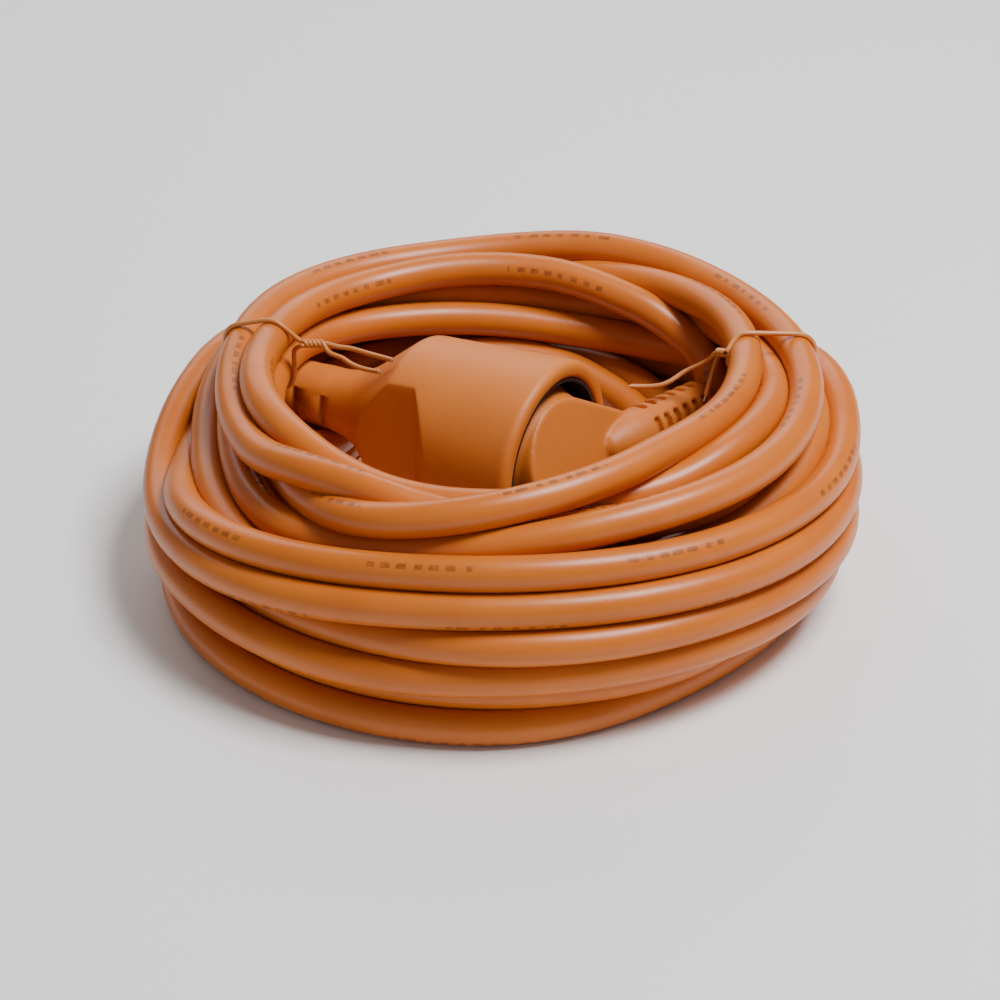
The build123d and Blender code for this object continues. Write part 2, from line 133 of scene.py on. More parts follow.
TURNS = [
    # on the floor and just above it
    [(118, 82.3, 8.5), (90, 82.5, 4.2), (0, 75, 4.2), (-40, 67, 4.2), (-62, 72, 4.2),
     (-90, 80.5, 4.2), (-146, 78.3, 4.2)],
    [(180, 78.5, 4.2), (90, 74.4, 4.2), (0, 66.6, 4.2), (-40, 59, 4.2), (-90, 72.2, 4.2)],
    [(180, 71, 4.2), (90, 66, 4.2), (0, 58.3, 4.2), (-40, 51, 4.2), (-90, 64, 4.2)],
    turn((63, 4.2), (57.5, 4.2), (50, 4.2), (55.8, 4.2)),
    turn((54.7, 4.2), (61.6, 11.6), (54.6, 11.6), (60.5, 11.8)),
    turn((59.7, 11.6), (70.2, 11.6), (62.8, 11.6), (69, 11.8)),
    turn((68, 11.6), (78.6, 11.6), (71, 11.6), (77.5, 11.8)),
    [(180, 76.4, 11.6), (90, 82.8, 19), (0, 78.8, 12.5), (-35, 75, 15), (-90, 81.3, 19.3)],
    # the middle layers
    turn((82.3, 17), (74.4, 19), (72.8, 19), (73, 19.3)),
    turn((64, 19), (66, 19), (65.4, 19), (64.6, 19.3)),
    turn((52, 11.6), (57.5, 19), (41.5, 6), (57, 19.3)),
    turn((56, 19), (61.7, 26.6), (58, 19), (66.5, 27)),
    [(180, 64.5, 27), (90, 70.3, 26.6), (0, 81, 20), (-45, 80.5, 22), (-90, 83, 27.4)],
    turn((73, 19), (79, 26.6), (83.2, 27.5), (79.5, 35)),
    [(180, 81, 23.5), (150, 83.6, 31), (90, 82.3, 34), (0, 73, 41), (-90, 58.5, 27)],
    [(180, 57, 27), (150, 56.5, 19.5), (90, 58, 32.5), (45, 57, 22), (0, 53.5, 24), (-14, 55, 27.8),
     (-90, 65.5, 37.5), (-105, 66, 34), (-120, 68.5, 30.5), (-140, 71.5, 30.5)],
    # the loose top turns
    [(180, 71.8, 30), (169, 72.5, 33), (150, 77.5, 37), (90, 74.5, 34.5), (20, 79.5, 38.5),
     (0, 81.5, 36.5), (-15, 80, 36.5), (-44, 77, 39.5), (-90, 76.2, 42.2), (-118, 77.6, 38.5),
     (-148, 78.6, 30)],
    [(180, 80.5, 26), (165, 80.3, 28), (150, 81, 29.5), (90, 69, 43.5), (50, 69.5, 50),
     (30, 64.5, 52), (11, 60.5, 52), (0, 58.5, 52), (-22, 55.5, 52), (-47, 54, 52),
     (-59, 56, 52), (-72, 58.5, 52), (-81, 61.2, 52), (-95, 67, 51), (-107, 71, 48.5),
     (-121, 68.5, 45), (-143, 58.5, 41.5), (-160, 54.5, 40)],
    [(180, 55.5, 40.5), (150, 63, 45), (120, 58, 42), (90, 58, 40.5), (60, 62, 37.5),
     (50, 67, 34.5), (36, 77.2, 30.3), (20, 79.8, 33), (0, 71, 42), (-90, 58.5, 45.5),
     (-116, 61.5, 48.5), (-142, 61.5, 48), (-160, 61.3, 46), (-172, 62.5, 45.5)],
    [(180, 64.8, 45), (165, 66, 48), (150, 67.8, 51.5), (139, 69.3, 52), (124, 70.8, 51.5),
     (90, 71.8, 51), (60, 72.4, 51), (30, 71.8, 51), (5, 71.6, 49.5), (-16, 71.4, 48),
     (-44, 70.2, 48), (-75, 67, 48.5), (-90, 68, 45), (-105, 67.5, 41), (-120, 68.5, 38),
     (-133, 69.3, 37.5), (-153, 65.2, 34.5), (-172, 64, 36)],
    [(180, 65, 39), (150, 71, 45), (120, 68, 44), (90, 63.5, 44), (60, 68.3, 43), (50, 71.3, 43),
     (30, 69.5, 46), (4, 66.2, 50), (-14, 64, 49.5), (-30, 61.5, 48.5), (-46, 58.8, 48.5),
     (-90, 51.5, 45), (-120, 54, 46), (-138, 55.8, 48.5), (-160, 58.3, 50.8)],
    [(180, 60.2, 52.3), (151, 61.5, 52), (120, 61.4, 51.5), (90, 61, 51.5), (62, 61, 51)],
]
COUPLER_END = [
    at(0, 0, -74),
    at(0, 0, -86),
    (-65.4, 41.6, 27.2),
    (-67.0, 46.6, 19.6),
    (-60.4, 55.6, 13.0),
]
PLUG_END = [
    (37.5, 50.2, 50.0),
    (44.3, 47.8, 46.5),
    (49.3, 44.3, 42.0),
    (51.8, 40.4, 36.8),
    relief_tip + relief_way * 5.0,
    relief_tip - relief_way * 2.0,
]
STEPS_PER_TURN = 72
KEEP_EVERY = 3  # so the spline has 24 points a turn
STEP = 6.1  # about the distance between two steps
END_STEPS = 7  # steps that may touch the coupler or the plug they come from
HELD_STEPS = 3  # steps at each end that stay where they are
SETTLE_ROUNDS = 500
NEAR = 6.0  # turns this far apart, or closer, are watched while they settle
RELIEF_CLEAR = (7.3, 6.6)  # the turns keep clear of rods of these radii along the strain relief
TRAVEL_STOPS = 5  # places along the plug's travel where the turns keep clear of it


def smooth_ends(values, width):
    """values averaged over a bell of this many steps."""
    bell = np.hanning(width + 2)[1:-1]
    return np.convolve(np.pad(values, width // 2, mode="edge"), bell / bell.sum(), "valid")


def spread_turns():
    """The turns' places, joined into one line of even steps."""
    places = [(360 * k - a, r, z) for k, stations in enumerate(TURNS) for a, r, z in stations]
    angle, radius, height = np.array(places).T
    steps = np.arange(angle[0], angle[-1] + 0.1, 360 / STEPS_PER_TURN)
    radius = smooth_ends(np.interp(steps, angle, radius), 9)
    height = smooth_ends(np.interp(steps, angle, height), 9)
    way = np.radians(-steps)
    return np.stack([radius * np.cos(way), radius * np.sin(way), height], 1)


def evenly(points, step):
    """Points an even step apart along straight runs."""
    points = np.array(points, float)
    along = np.r_[0, np.cumsum(np.linalg.norm(np.diff(points, axis=0), axis=1))]
    steps = np.linspace(0, along[-1], int(round(along[-1] / step)) + 1)
    return np.stack([np.interp(steps, along, points[:, c]) for c in range(3)], 1)


def keep_out():
    """Tapered rods (start, end, two radii) that the turns lie round: the coupler, and the plug's
    strain relief over its travel."""
    profile = ((-8, 24.5), (SHOULDER_T, 22), (-48.5, FACET_S), (-58.5, 8.4), (NECK_END_T, NECK_R))
    rods = [(at(0, 0, a), at(0, 0, b), ra, rb) for (a, ra), (b, rb) in zip(profile, profile[1:])]
    for slide in np.linspace(0, TRAVEL, TRAVEL_STOPS):
        shift = OUT * slide
        rods.append((relief_root + shift, relief_tip + relief_way * 2 + shift, *RELIEF_CLEAR))
    return rods


def settle(line, held, rounds):
    """Moves turns that overlap apart and smooths them, as cord lies when it is wound and tied.
    A few places still overlap a little at the end."""
    line = line.copy()
    start = line.copy()
    count = len(line)
    along = int(3 * CORD_D / STEP)
    rods = keep_out()
    for number in range(rounds):
        if number % 10 == 0:
            pairs = []
            for first in range(0, count, 400):
                gap = ((line[first : first + 400, None] - line[None]) ** 2).sum(-1)
                i, j = np.nonzero(gap < (CORD_D + NEAR) ** 2)
                i = i + first
                far = (j - i) > along
                pairs.append(np.stack([i[far], j[far]]))
            i, j = np.concatenate(pairs, 1)
        bend = np.zeros_like(line)
        bend[1:-1] = (line[:-2] + line[2:]) / 2 - line[1:-1]
        kink = np.zeros_like(line)
        kink[2:-2] = (bend[1:-3] + bend[3:-1]) / 2 - bend[2:-2]
        line -= 0.4 * kink
        line += 0.01 * (start - line)
        between = line[i] - line[j]
        gap = np.linalg.norm(between, axis=1) + 1e-9
        short = np.maximum(CORD_D - gap, 0)
        touching = short > 0
        push = between[touching] / gap[touching, None] * (short[touching, None] * 0.35)
        a, b = i[touching], j[touching]
        contacts = np.bincount(a, minlength=count) + np.bincount(b, minlength=count)
        for c in range(3):
            moved = np.bincount(a, push[:, c], count) - np.bincount(b, push[:, c], count)
            line[:, c] += moved / np.maximum(contacts * 0.35, 1)
        for low, high, low_r, high_r in rods:
            rod = high - low
            u = np.clip((line - low) @ rod / (rod @ rod), 0, 1)
            away = line - (low + u[:, None] * rod)
            gap = np.linalg.norm(away, axis=1) + 1e-9
            short = np.maximum(low_r + (high_r - low_r) * u + CORD_D / 2 + 0.3 - gap, 0)
            short[:END_STEPS] = 0
            short[-END_STEPS:] = 0
            line += away / gap[:, None] * (short[:, None] * 0.5)
        line[:, 2] = np.maximum(line[:, 2], CORD_D / 2)
        line[:, 2] -= 0.5 * np.maximum(line[:, 2] - (COIL_TOP_Z - CORD_D / 2), 0)
        radius = np.hypot(line[:, 0], line[:, 1])
        over = np.maximum(radius - (COIL_OUT_R - CORD_D / 2), 0)
        line[:, :2] *= (1 - 0.5 * over / radius)[:, None]
        line[held] = start[held]
    return line


def cord_line():
    """The cord's spline points, from the coupler to the plug."""
    first = evenly(COUPLER_END, STEP)
    turns = spread_turns()
    last = evenly(PLUG_END, STEP)
    line = np.concatenate([first, turns, last])
    held = np.zeros(len(line), bool)
    held[:HELD_STEPS] = True
    held[-HELD_STEPS:] = True
    settled = settle(line, held, SETTLE_ROUNDS)
    kept = settled[len(first) : -len(last)][::KEEP_EVERY]
    return np.concatenate([settled[: len(first)], kept, settled[-len(last) :]])


def nurbs_points(points, resolution):
    """Points of a smooth NURBS line with these control points."""
    curve = bpy.data.curves.new("route", "CURVE")
    curve.dimensions = "3D"
    spline = curve.splines.new("NURBS")
    spline.points.add(len(points) - 1)
    for place, point in zip(spline.points, points):
        place.co = (*(float(x) * MM for x in point), 1.0)
    spline.order_u = 3
    spline.use_endpoint_u = True
    spline.resolution_u = resolution
    holder = bpy.data.objects.new("route", curve)
    mesh = bpy.data.meshes.new_from_object(holder)
    line = np.array([v.co for v in mesh.vertices]) / MM
    bpy.data.objects.remove(holder)
    bpy.data.meshes.remove(mesh)
    bpy.data.curves.remove(curve)
    return line


# ---------------------------------------------------------------- meshes
def new_object(name, mesh, body=None):
    """A smooth-shaded piece, riding on a body if one is named."""
    for face in mesh.polygons:
        face.use_smooth = True
    piece = bpy.data.objects.new(name, mesh)
    bpy.context.scene.collection.objects.link(piece)
    if body:
        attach(piece, body)
    return piece


def mesh_from(name, points, faces):
    mesh = bpy.data.meshes.new(name)
    mesh.from_pydata([tuple(float(x) * MM for x in p) for p in points], [], faces)
    mesh.update()
    return mesh


def tangents(line):
    way = np.gradient(line, axis=0)
    return way / np.linalg.norm(way, axis=1)[:, None]


def carried_frames(line):
    """For each point two unit vectors square to the line, carried along it without twist."""
    way = tangents(line)
    across = np.zeros_like(line)
    first = SIDE if abs(UP @ way[0]) > 0.9 else UP
    across[0] = unit(first - way[0] * (first @ way[0]))
    for k in range(1, len(line)):
        carried = across[k - 1] - way[k] * (across[k - 1] @ way[k])
        across[k] = unit(carried)
    return across, np.cross(way, across)


def sharpen_ends(mesh):
    """Keeps a tube's flat ends from shading its last rings."""
    rims = {key for face in mesh.polygons[-2:] for key in face.edge_keys}
    for edge in mesh.edges:
        edge.use_edge_sharp = edge.key in rims


def tube_mesh(name, line, radius, sides, frames=None, along=None):
    """A closed tube along a line, with u = turns round it and v = metres along it as its UV map."""
    across, other = frames if frames is not None else carried_frames(line)
    radius = np.broadcast_to(np.asarray(radius, float), (len(line),))
    if along is None:
        along = np.r_[0, np.cumsum(np.linalg.norm(np.diff(line, axis=0), axis=1))]
    angle = np.arange(sides) * tau / sides
    points = (
        line[:, None]
        + (across[:, None] * np.cos(angle)[None, :, None] + other[:, None] * np.sin(angle)[None, :, None])
        * radius[:, None, None]
    ).reshape(-1, 3)
    faces = []
    for k in range(len(line) - 1):
        for n in range(sides):
            m = (n + 1) % sides
            faces.append((k * sides + n, k * sides + m, (k + 1) * sides + m, (k + 1) * sides + n))
    last = (len(line) - 1) * sides
    faces.append(tuple(reversed(range(sides))))
    faces.append(tuple(range(last, last + sides)))
    mesh = mesh_from(name, points, faces)
    sharpen_ends(mesh)
    uv = mesh.uv_layers.new(name="UVMap")
    for face in mesh.polygons[: (len(line) - 1) * sides]:
        for corner, loop in zip((0, 1, 1, 0), face.loop_indices):
            vertex = mesh.loops[loop].vertex_index
            ring, side = divmod(vertex, sides)
            turns = side / sides if not (corner == 1 and side == 0) else 1.0
            uv.data[loop].uv = (turns, along[ring] * MM)
    return mesh


def bridge(rings, closed=False):
    """Quads between rings of equal length; closed also joins the last ring to the first."""
    count = len(rings[0])
    pairs = [(k, k + 1) for k in range(len(rings) - 1)]
    if closed:
        pairs.append((len(rings) - 1, 0))
    return [
        (a * count + n, a * count + (n + 1) % count, b * count + (n + 1) % count, b * count + n)
        for a, b in pairs
        for n in range(count)
    ]


def place(points):
    """Points given in the coupler's frame, in the row's frame."""
    points = np.asarray(points, float)
    return MOUTH + points[:, :1] * SIDE + points[:, 1:2] * UP + points[:, 2:] * OUT


def outward(mesh):
    """Makes every face of a closed mesh look outwards."""
    work = bmesh.new()
    work.from_mesh(mesh)
    bmesh.ops.recalc_face_normals(work, faces=work.faces)
    work.to_mesh(mesh)
    work.free()
    return mesh


# ---------------------------------------------------------------- materials
PRINT_GROUP = 58.0  # one run of printed dashes and the gap after it
PRINT_SHARE = 0.45  # the dashes' share of that length
PRINT_CELL = 3.6  # one dash and its gap
PRINT_HEIGHT = 1.3
PRINT_TWIST = 6500.0  # the print goes once round the cord in this length
PRINT_SIDE = 0.263  # where round the cord the print starts, half a turn off
LAY_LENGTH = 45.0  # one twist of the three cores


def new_material(name):
    material = bpy.data.materials.new(name)
    material.use_nodes = True
    nodes = material.node_tree.nodes
    return material, nodes, material.node_tree.links, nodes["Principled BSDF"]


def add(nodes, kind, **settings):
    node = nodes.new(kind)
    for key, value in settings.items():
        if key.startswith("in_"):
            name = key[3:].replace("_", " ")
            node.inputs[int(name) if name.isdigit() else name].default_value = value
        else:
            setattr(node, key, value)
    return node


def ramp(nodes, stops):
    node = nodes.new("ShaderNodeValToRGB")
    elements = node.color_ramp.elements
    while len(elements) < len(stops):
        elements.new(0.5)
    for element, (position, color) in zip(elements, stops):
        element.position = position
        element.color = (*color, 1.0)
    return node


def plastic(name, dark, light, roughness, grain, grain_size, coat=0.0, specular=0.5):
    """Moulded PVC: a faint mottle in the colour, uneven gloss and a fine grain."""
    material, nodes, links, shader = new_material(name)
    shader.inputs["Specular IOR Level"].default_value = specular
    shader.inputs["Coat Weight"].default_value = coat
    shader.inputs["Coat Roughness"].default_value = 0.18
    where = add(nodes, "ShaderNodeTexCoord")
    mottle = add(nodes, "ShaderNodeTexNoise", in_Scale=55.0, in_Detail=4.0, in_Roughness=0.55)
    color = ramp(nodes, [(0.3, dark), (0.7, light)])
    wear = add(nodes, "ShaderNodeTexNoise", in_Scale=140.0, in_Detail=6.0)
    gloss = add(nodes, "ShaderNodeMapRange", in_3=roughness - 0.07, in_4=roughness + 0.09)
    fine = add(nodes, "ShaderNodeTexNoise", in_Scale=grain_size, in_Detail=3.0)
    bump = add(nodes, "ShaderNodeBump", in_Strength=grain, in_Distance=0.0002)
    for node in (mottle, wear, fine):
        links.new(where.outputs["Object"], node.inputs["Vector"])
    links.new(mottle.outputs["Fac"], color.inputs["Fac"])
    links.new(color.outputs["Color"], shader.inputs["Base Color"])
    links.new(wear.outputs["Fac"], gloss.inputs["Value"])
    links.new(gloss.outputs["Result"], shader.inputs["Roughness"])
    links.new(fine.outputs["Fac"], bump.inputs["Height"])
    links.new(bump.outputs["Normal"], shader.inputs["Normal"])
    return material


def cord_sheath(name, dark, light):
    """Smooth extruded PVC with the cores' lay just showing, and a row of plain printed dashes."""
    material, nodes, links, shader = new_material(name)
    shader.inputs["Specular IOR Level"].default_value = 0.4
    shader.inputs["Coat Weight"].default_value = 0.04
    shader.inputs["Coat Roughness"].default_value = 0.15
    where = add(nodes, "ShaderNodeTexCoord")
    uv = add(nodes, "ShaderNodeUVMap", uv_map="UVMap")
    split = add(nodes, "ShaderNodeSeparateXYZ")
    links.new(uv.outputs["UV"], split.inputs["Vector"])

    mottle = add(nodes, "ShaderNodeTexNoise", in_Scale=45.0, in_Detail=4.0)
    color = ramp(nodes, [(0.3, dark), (0.7, light)])
    links.new(where.outputs["Object"], mottle.inputs["Vector"])
    links.new(mottle.outputs["Fac"], color.inputs["Fac"])

    def maths(operation, a, b=None, c=None):
        node = add(nodes, "ShaderNodeMath", operation=operation)
        for socket, value in enumerate((a, b, c)):
            if value is None:
                continue
            if isinstance(value, (int, float)):
                node.inputs[socket].default_value = value
            else:
                links.new(value, node.inputs[socket])
        return node.outputs[0]

    # printed dashes: groups along the cord, each a few short marks of uneven length
    around, along = split.outputs["X"], split.outputs["Y"]
    group = maths("FRACT", maths("DIVIDE", along, PRINT_GROUP * MM))
    in_group = maths("LESS_THAN", group, PRINT_SHARE)
    cell = maths("DIVIDE", along, PRINT_CELL * MM)
    in_cell = maths("FRACT", cell)
    chance = add(nodes, "ShaderNodeTexWhiteNoise", noise_dimensions="1D")
    links.new(maths("FLOOR", cell), chance.inputs["W"])
    inked = maths("LESS_THAN", in_cell, maths("MULTIPLY_ADD", chance.outputs["Value"], 0.45, 0.35))
    untwisted = maths("MULTIPLY_ADD", along, -1 / (PRINT_TWIST * MM), around)
    from_line = maths("SUBTRACT", untwisted, PRINT_SIDE)
    off_line = maths("ABSOLUTE", maths("SUBTRACT", maths("FRACT", from_line), 0.5))
    on_line = maths("LESS_THAN", off_line, PRINT_HEIGHT / (2 * pi * CORD_D))
    ink = maths("MULTIPLY", maths("MULTIPLY", in_group, inked), on_line)
    worn = add(nodes, "ShaderNodeTexNoise", in_Scale=900.0, in_Detail=2.0)
    links.new(where.outputs["Object"], worn.inputs["Vector"])
    strength = maths("MULTIPLY", ink, maths("MULTIPLY_ADD", worn.outputs["Fac"], 0.8, 0.05))
    printed = add(nodes, "ShaderNodeMix", data_type="RGBA")
    printed.inputs["B"].default_value = (0.045, 0.012, 0.006, 1.0)
    links.new(strength, printed.inputs["Factor"])
    links.new(color.outputs["Color"], printed.inputs["A"])
    links.new(printed.outputs["Result"], shader.inputs["Base Color"])

    scuffs = add(nodes, "ShaderNodeTexNoise", in_Scale=70.0, in_Detail=6.0, in_Roughness=0.6)
    gloss = add(nodes, "ShaderNodeMapRange", in_3=0.30, in_4=0.45)
    links.new(where.outputs["Object"], scuffs.inputs["Vector"])
    links.new(scuffs.outputs["Fac"], gloss.inputs["Value"])
    links.new(gloss.outputs["Result"], shader.inputs["Roughness"])

    three_round = maths("MULTIPLY", around, 3 * tau)
    lay = maths("SINE", maths("MULTIPLY_ADD", along, tau / (LAY_LENGTH * MM), three_round))
    orange_peel = add(nodes, "ShaderNodeTexNoise", in_Scale=420.0, in_Detail=2.0)
    links.new(where.outputs["Object"], orange_peel.inputs["Vector"])
    relief = maths("MULTIPLY_ADD", lay, 0.25, orange_peel.outputs["Fac"])
    bump = add(nodes, "ShaderNodeBump", in_Strength=0.12, in_Distance=0.0003)
    links.new(relief, bump.inputs["Height"])
    links.new(bump.outputs["Normal"], shader.inputs["Normal"])
    return material


def metal(name, color, roughness):
    """Turned or stamped metal with fine drawn lines."""
    material, nodes, links, shader = new_material(name)
    shader.inputs["Metallic"].default_value = 1.0
    shader.inputs["Base Color"].default_value = (*color, 1.0)
    where = add(nodes, "ShaderNodeTexCoord")
    stretch = add(nodes, "ShaderNodeMapping")
    stretch.inputs["Scale"].default_value = (1.0, 1.0, 14.0)
    lines = add(nodes, "ShaderNodeTexNoise", in_Scale=260.0, in_Detail=5.0)
    gloss = add(nodes, "ShaderNodeMapRange", in_3=roughness - 0.06, in_4=roughness + 0.14)
    bump = add(nodes, "ShaderNodeBump", in_Strength=0.15, in_Distance=0.0001)
    links.new(where.outputs["Object"], stretch.inputs["Vector"])
    links.new(stretch.outputs["Vector"], lines.inputs["Vector"])
    links.new(lines.outputs["Fac"], gloss.inputs["Value"])
    links.new(gloss.outputs["Result"], shader.inputs["Roughness"])
    links.new(lines.outputs["Fac"], bump.inputs["Height"])
    links.new(bump.outputs["Normal"], shader.inputs["Normal"])
    return material


ORANGE_DARK = (0.52, 0.120, 0.008)
ORANGE_LIGHT = (0.60, 0.150, 0.011)
cord_look = cord_sheath("cord_orange_pvc", ORANGE_DARK, ORANGE_LIGHT)
coupler_look = plastic("coupler_orange_pvc", (0.60, 0.155, 0.014), (0.66, 0.178, 0.018), 0.52, 0.22, 900.0)
plug_look = plastic("plug_orange_pvc", (0.54, 0.138, 0.013), (0.60, 0.158, 0.017), 0.5, 0.22, 900.0)
dark_look = plastic("dark_insert", (0.010, 0.010, 0.011), (0.018, 0.018, 0.020), 0.45, 0.3, 700.0)
tie_look = plastic("tie_coat", (0.52, 0.17, 0.035), (0.62, 0.22, 0.05), 0.38, 0.3, 1500.0, coat=0.2)
brown_look = plastic("core_brown", (0.09, 0.035, 0.015), (0.12, 0.045, 0.02), 0.4, 0.2, 900.0)
blue_look = plastic("core_blue", (0.02, 0.09, 0.35), (0.03, 0.12, 0.42), 0.4, 0.2, 900.0)
earth_look = plastic("core_earth", (0.12, 0.30, 0.03), (0.55, 0.50, 0.04), 0.4, 0.2, 900.0)
brass_look = metal("brass", (0.72, 0.50, 0.20), 0.28)
pin_look = metal("nickel_pin", (0.66, 0.64, 0.60), 0.22)
wire_look = metal("tie_steel", (0.62, 0.58, 0.52), 0.3)

CAD_LOOKS = {
    "coupler_liner": dark_look,
    "coupler_contact_carrier": dark_look,
    "coupler_line_contact": brass_look,
    "coupler_neutral_contact": brass_look,
    "coupler_earth_clip": brass_look,
    "coupler_brown_core": brown_look,
    "coupler_blue_core": blue_look,
    "coupler_earth_core": earth_look,
    "plug_insert": dark_look,
    "plug_line_pin": pin_look,
    "plug_neutral_pin": pin_look,
    "plug_earth_strips": brass_look,
    "plug_earth_socket": brass_look,
    "plug_cord_end": cord_look,
    "plug_brown_core": brown_look,
    "plug_blue_core": blue_look,
    "plug_earth_core": earth_look,
}
for node_name, look in CAD_LOOKS.items():
    node = frame["nodes"][node_name]
    node.data.materials.clear()
    node.data.materials.append(look)

# ---------------------------------------------------------------- coupler
FACET_COLUMNS = 13
ROUND_COLUMNS = 29
MIN_FACET_ANGLE = radians(12)
NECK_FACET_ANGLE = radians(31)
SLOT_HALF_WIDTH = 0.6
SLOT_DEPTH = 1.9


def coupler_columns(facet_angle):
    """Angles round the coupler, close together at the facets' edges."""
    edge = radians(1.0)
    facet = np.linspace(-facet_angle + edge, facet_angle - edge, FACET_COLUMNS)
    top = np.linspace(facet_angle + edge, pi - facet_angle - edge, ROUND_COLUMNS)
    return np.concatenate([facet, top, facet + pi, top + pi])


def coupler_profile():
    """(t, radius, what) rows from inside the mouth over the lip and back to the neck."""
    rows = [(-21.0, MOUTH_BORE_R, "round"), (-1.6, MOUTH_BORE_R, "round")]
    rows += [(-0.7, 20.5, "round"), (-0.2, 20.85, "round"), (0.0, 21.5, "round"), (0.0, 22.6, "round")]
    rows += [(-1.9 + 1.9 * cos(a), 22.6 + 1.9 * sin(a), "round") for a in np.radians((22, 45, 68, 90))]
    front, back = -1.9, SHOULDER_T
    for t in (-3.0, -8.0, -13.0, -18.0, -21.5):
        rows.append((t, np.interp(t, (back, front), (21.9, MOUTH_R)), "round"))
    for t in np.arange(-22.2, SHOULDER_T, -0.75):
        rows.append((t, np.interp(t, (back, front), (21.9, MOUTH_R)), "facet"))
    rows += [(-38.3, 21.75, "facet"), (-38.9, 21.45, "facet"), (-39.5, 21.05, "facet")]
    for t in np.arange(-40.5, -48.2, -1.0):
        rows.append((t, 21.05 + 0.84 * (t + 39.5), "facet"))
    rows += [(-49.2, 12.9, "round"), (-50.4, 11.95, "round"), (-51.8, 10.95, "round")]
    rows += [(-53.4, 10.0, "round"), (-55.2, 9.2, "round"), (-57.4, 8.5, "round"), (-59.8, 8.05, "neck")]
    for slot in NECK_SLOTS_T:
        radius = 7.8 if slot == NECK_SLOTS_T[0] else 7.4
        for offset, cut in ((0.08, "neck"), (-0.08, "slot")):
            rows.append((slot + SLOT_HALF_WIDTH + offset, radius, cut))
        for offset, cut in ((0.08, "slot"), (-0.08, "neck")):
            rows.append((slot - SLOT_HALF_WIDTH + offset, radius, cut))
        rows.append((slot - 4.0, radius - 0.1, "neck"))
    end = NECK_END_T
    rows += [(end + 1.2, NECK_R, "neck"), (end + 0.3, NECK_R - 0.25, "neck"), (end, NECK_R - 0.9, "neck")]
    rows += [(end, 4.6, "neck"), (end + 1.0, 4.25, "neck"), (-58.0, 4.25, "neck"), (-50.0, 9.0, "inside")]
    rows += [(-41.1, 11.4, "inside"), (-41.1, 11.4, "carrier"), (-21.6, 11.4, "carrier")]
    return rows


def coupler_row(t, radius, what):
    if what == "facet":
        flat = max(FACET_S, min(FACET_S + (t - FACET_T) / FACET_RAMP, radius - 0.02))
        facet_angle = max(acos(min(flat / radius, 1.0)), MIN_FACET_ANGLE)
    elif what in ("neck", "slot"):
        facet_angle = NECK_FACET_ANGLE
    elif what == "round" and t < FACET_T:
        facet_angle = np.interp(t, (-59, -49), (NECK_FACET_ANGLE, MIN_FACET_ANGLE))
    else:
        facet_angle = MIN_FACET_ANGLE
    angle = coupler_columns(facet_angle)
    s, h = radius * np.cos(angle), radius * np.sin(angle)
    if what == "facet":
        s = np.clip(s, -flat, flat)
    if what == "slot":
        s = np.where(np.abs(h) < 3.75, np.clip(s, SLOT_DEPTH - NECK_R, NECK_R - SLOT_DEPTH), s)
    if what == "carrier":
        half_s, half_h = 11.15, 14.15
        grow = np.minimum(half_s / np.maximum(np.abs(s), 1e-6), half_h / np.maximum(np.abs(h), 1e-6))
        s, h = s * grow, h * grow
    return np.stack([s, h, np.full_like(s, t)], 1)


def make_coupler():
    rings = [place(coupler_row(*row)) for row in coupler_profile()]
    mesh = outward(mesh_from("coupler_moulding", np.concatenate(rings), bridge(rings, closed=True)))
    piece = new_object("coupler_moulding", mesh, "root")
    mesh.materials.append(coupler_look)
    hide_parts("coupler_shell")


# ---------------------------------------------------------------- plug
TIP_S = 23.0
NECK_HALF = 4.6
PLUG_COLUMNS = 120


def teardrop(angle):
    """Distance of the back's outline from the axis at this angle round it."""
    reach = (TIP_S**2 + NECK_HALF**2) ** 0.5
    bearing = np.arctan2(NECK_HALF, TIP_S)
    touch = bearing + acos(BACK_R / reach)
    turned = np.abs((angle + pi) % tau - pi)
    tangent = BACK_R / np.maximum(np.cos(touch - turned), 1e-3)
    end = TIP_S / np.maximum(np.cos(turned), 1e-3)
    return np.where(turned > touch, BACK_R, np.minimum(tangent, end))


